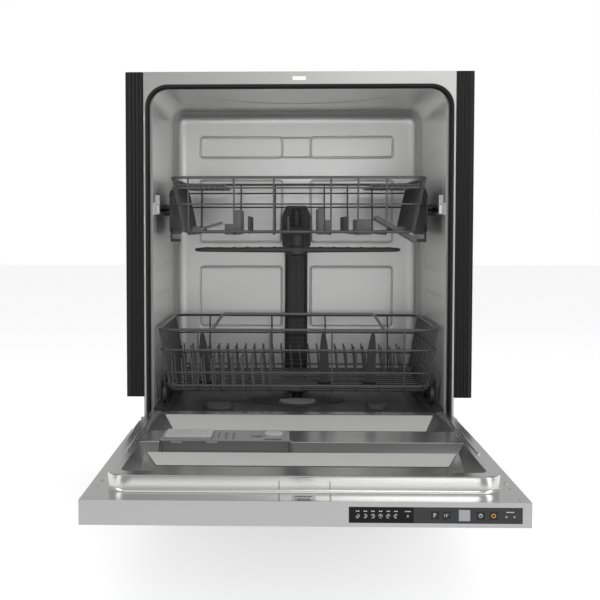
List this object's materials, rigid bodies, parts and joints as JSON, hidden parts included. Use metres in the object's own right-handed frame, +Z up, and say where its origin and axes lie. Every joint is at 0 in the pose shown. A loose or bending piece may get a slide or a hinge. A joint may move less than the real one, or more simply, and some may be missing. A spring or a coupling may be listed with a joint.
{
  "type": "built-in dishwasher",
  "caption": "Fully integrated built-in dishwasher, door open flat, with pull-out wire racks, spray arms, filter, softener, pumps, levelling feet and a control strip in the door edge.",
  "frame": {"origin": "on the floor, under the middle of the machine's length with its door lying open", "axes": "+X to the machine's right as seen from the front, +Y from the open door towards the back, +Z up"},
  "size_m": [0.63, 1.149, 0.815],
  "materials": {
    "stainless_tub": "satin",
    "stainless_frame": "satin",
    "door_skin": "satin",
    "door_liner": "satin",
    "gasket_rubber": "matt",
    "strip_rubber": "ribbed",
    "bitumen": "bitumen mat",
    "zinc_steel": "galvanised",
    "base_plastic": "moulded",
    "dark_plastic": "moulded",
    "grey_plastic": "moulded",
    "light_plastic": "moulded",
    "white_plastic": "moulded",
    "rack_coating": "dipped nylon",
    "spring_steel": "drawn",
    "strip_plastic": "satin",
    "display_window": "gloss",
    "filter_steel": "perforated"
  },
  "bodies": {
    "cabinet": {"tub_wrapper": "stainless_tub", "tub_back": "stainless_tub", "tub_floor": "dark_plastic", "front_flange": "stainless_frame", "door_gasket": "gasket_rubber", "side_strip_right": "strip_rubber", "side_strip_left": "strip_rubber", "sound_jacket": "bitumen", "worktop_brackets": "zinc_steel", "hinge_brackets": "zinc_steel", "base_tray": "base_plastic", "door_springs": "spring_steel", "sump": "dark_plastic", "filter_plate": "filter_steel", "circulation_pump": "dark_plastic", "drain_pump": "grey_plastic", "water_softener": "white_plastic", "inlet_valve": "white_plastic", "terminal_box": "dark_plastic", "riser_duct": "dark_plastic", "rail_holders": "light_plastic"},
    "filter_cup": {"coarse_filter": "grey_plastic"},
    "salt_cover": {"salt_cap": "grey_plastic"},
    "float": {"float_dome": "grey_plastic"},
    "lower_arm": {"lower_spray_arm": "dark_plastic"},
    "upper_arm": {"upper_spray_arm": "dark_plastic"},
    "rails": {"rail_slides": "stainless_frame"},
    "rack_carrier": {"height_brackets": "dark_plastic"},
    "upper_rack": {"upper_rack_floor": "rack_coating", "upper_rack_walls": "rack_coating", "upper_feed_pipe": "dark_plastic"},
    "shelf_left": {"cup_shelf_left": "rack_coating"},
    "shelf_right": {"cup_shelf_right": "rack_coating"},
    "lower_rack": {"lower_rack_floor": "rack_coating", "lower_rack_walls": "rack_coating"},
    "tine_row_left": {"tines_left": "rack_coating"},
    "tine_row_right": {"tines_right": "rack_coating"},
    "wheels_1": {"wheel_pair_1": "dark_plastic"},
    "wheels_2": {"wheel_pair_2": "dark_plastic"},
    "wheels_3": {"wheel_pair_3": "dark_plastic"},
    "wheels_4": {"wheel_pair_4": "dark_plastic"},
    "door": {"hinge_arms": "zinc_steel", "door_outer_panel": "door_skin", "door_liner": "door_liner", "door_insulation": "bitumen", "control_console": "strip_plastic", "control_display": "display_window", "latch_case": "zinc_steel", "dispenser_body": "grey_plastic"},
    "latch": {"latch_hook": "spring_steel"},
    "detergent_lid": {"dispenser_lid": "light_plastic"},
    "rinse_cap": {"rinse_aid_cap": "light_plastic"},
    "key_program": {"button_program": "strip_plastic"},
    "key_half_load": {"button_half_load": "strip_plastic"},
    "key_delay": {"button_delay": "strip_plastic"},
    "key_power": {"button_power": "strip_plastic"},
    "foot_1": {"foot_front_left": "base_plastic"},
    "foot_2": {"foot_front_right": "base_plastic"},
    "foot_3": {"foot_rear_left": "base_plastic"},
    "foot_4": {"foot_rear_right": "base_plastic"}
  },
  "joints": [
    {"name": "door_swing", "type": "hinge", "parent": "cabinet", "child": "door", "pos_m": [0, 0.0595, 0.178], "axis": [1, 0, 0], "range_deg": [-90, 0]},
    {"name": "lower_rack_slide", "type": "slide", "parent": "cabinet", "child": "lower_rack", "axis": [0, -1, 0], "range_m": [0, 0.5]},
    {"name": "wheel_1_roll", "type": "hinge", "parent": "lower_rack", "child": "wheels_1", "pos_m": [0, 0.1495, 0.2183], "axis": [1, 0, 0], "range_deg": [0, 1600]},
    {"name": "wheel_2_roll", "type": "hinge", "parent": "lower_rack", "child": "wheels_2", "pos_m": [0, 0.2535, 0.2183], "axis": [1, 0, 0], "range_deg": [0, 1600]},
    {"name": "wheel_3_roll", "type": "hinge", "parent": "lower_rack", "child": "wheels_3", "pos_m": [0, 0.3575, 0.2183], "axis": [1, 0, 0], "range_deg": [0, 1600]},
    {"name": "wheel_4_roll", "type": "hinge", "parent": "lower_rack", "child": "wheels_4", "pos_m": [0, 0.4615, 0.2183], "axis": [1, 0, 0], "range_deg": [0, 1600]},
    {"name": "tines_left_fold", "type": "hinge", "parent": "lower_rack", "child": "tine_row_left", "pos_m": [-0.14, 0.2595, 0.232], "axis": [-1, 0, 0], "range_deg": [0, 70]},
    {"name": "tines_right_fold", "type": "hinge", "parent": "lower_rack", "child": "tine_row_right", "pos_m": [0.14, 0.2595, 0.232], "axis": [-1, 0, 0], "range_deg": [0, 70]},
    {"name": "lower_arm_spin", "type": "hinge", "parent": "cabinet", "child": "lower_arm", "pos_m": [0, 0.29425, 0.207], "axis": [0, 0, 1], "continuous": true},
    {"name": "upper_rack_slide", "type": "slide", "parent": "cabinet", "child": "rack_carrier", "axis": [0, -1, 0], "range_m": [0, 0.44]},
    {"name": "rail_extend", "type": "slide", "parent": "cabinet", "child": "rails", "axis": [0, -1, 0], "range_m": [0, 0.22]},
    {"name": "upper_rack_height", "type": "slide", "parent": "rack_carrier", "child": "upper_rack", "axis": [0, 0, 1], "range_m": [0, 0.05]},
    {"name": "upper_arm_spin", "type": "hinge", "parent": "upper_rack", "child": "upper_arm", "pos_m": [0, 0.29425, 0.4835], "axis": [0, 0, 1], "continuous": true},
    {"name": "shelf_left_fold", "type": "hinge", "parent": "upper_rack", "child": "shelf_left", "pos_m": [-0.2256, 0.25, 0.6145], "axis": [0, -1, 0], "range_deg": [0, 80]},
    {"name": "shelf_right_fold", "type": "hinge", "parent": "upper_rack", "child": "shelf_right", "pos_m": [0.2256, 0.25, 0.6145], "axis": [0, 1, 0], "range_deg": [0, 80]},
    {"name": "coarse_filter_twist", "type": "hinge", "parent": "cabinet", "child": "filter_cup", "pos_m": [0, 0.22225, 0.19], "axis": [0, 0, 1], "range_deg": [0, 90]},
    {"name": "salt_cap_twist", "type": "hinge", "parent": "cabinet", "child": "salt_cover", "pos_m": [-0.15, 0.1445, 0.19], "axis": [0, 0, 1], "range_deg": [0, 90]},
    {"name": "float_lift", "type": "slide", "parent": "cabinet", "child": "float", "axis": [0, 0, 1], "range_m": [0, 0.005]},
    {"name": "foot_1_height", "type": "slide", "parent": "cabinet", "child": "foot_1", "axis": [0, 0, -1], "range_m": [0, 0.06]},
    {"name": "foot_2_height", "type": "slide", "parent": "cabinet", "child": "foot_2", "axis": [0, 0, -1], "range_m": [0, 0.06]},
    {"name": "foot_3_height", "type": "slide", "parent": "cabinet", "child": "foot_3", "axis": [0, 0, -1], "range_m": [0, 0.06]},
    {"name": "foot_4_height", "type": "slide", "parent": "cabinet", "child": "foot_4", "axis": [0, 0, -1], "range_m": [0, 0.06]},
    {"name": "program_press", "type": "slide", "parent": "door", "child": "key_program", "axis": [0, 1, 0], "range_m": [0, 0.0012], "stiffness_N_per_m": 300},
    {"name": "half_load_press", "type": "slide", "parent": "door", "child": "key_half_load", "axis": [0, 1, 0], "range_m": [0, 0.0012], "stiffness_N_per_m": 300},
    {"name": "delay_press", "type": "slide", "parent": "door", "child": "key_delay", "axis": [0, 1, 0], "range_m": [0, 0.0012], "stiffness_N_per_m": 300},
    {"name": "power_press", "type": "slide", "parent": "door", "child": "key_power", "axis": [0, 1, 0], "range_m": [0, 0.0012], "stiffness_N_per_m": 300},
    {"name": "latch_travel", "type": "slide", "parent": "door", "child": "latch", "axis": [0, -1, 0], "range_m": [0, 0.0025], "stiffness_N_per_m": 500},
    {"name": "detergent_lid_slide", "type": "slide", "parent": "door", "child": "detergent_lid", "axis": [1, 0, 0], "range_m": [0, 0.06]},
    {"name": "rinse_cap_twist", "type": "hinge", "parent": "door", "child": "rinse_cap", "pos_m": [-0.043, -0.207, 0.2], "axis": [0, 0, 1], "range_deg": [0, 90]}
  ],
  "couplings": [
    {"joint": "wheel_1_roll", "follows": "lower_rack_slide", "rad_per_m": 55.556},
    {"joint": "wheel_2_roll", "follows": "lower_rack_slide", "rad_per_m": 55.556},
    {"joint": "wheel_3_roll", "follows": "lower_rack_slide", "rad_per_m": 55.556},
    {"joint": "wheel_4_roll", "follows": "lower_rack_slide", "rad_per_m": 55.556},
    {"joint": "rail_extend", "follows": "upper_rack_slide", "ratio": 0.5}
  ]
}
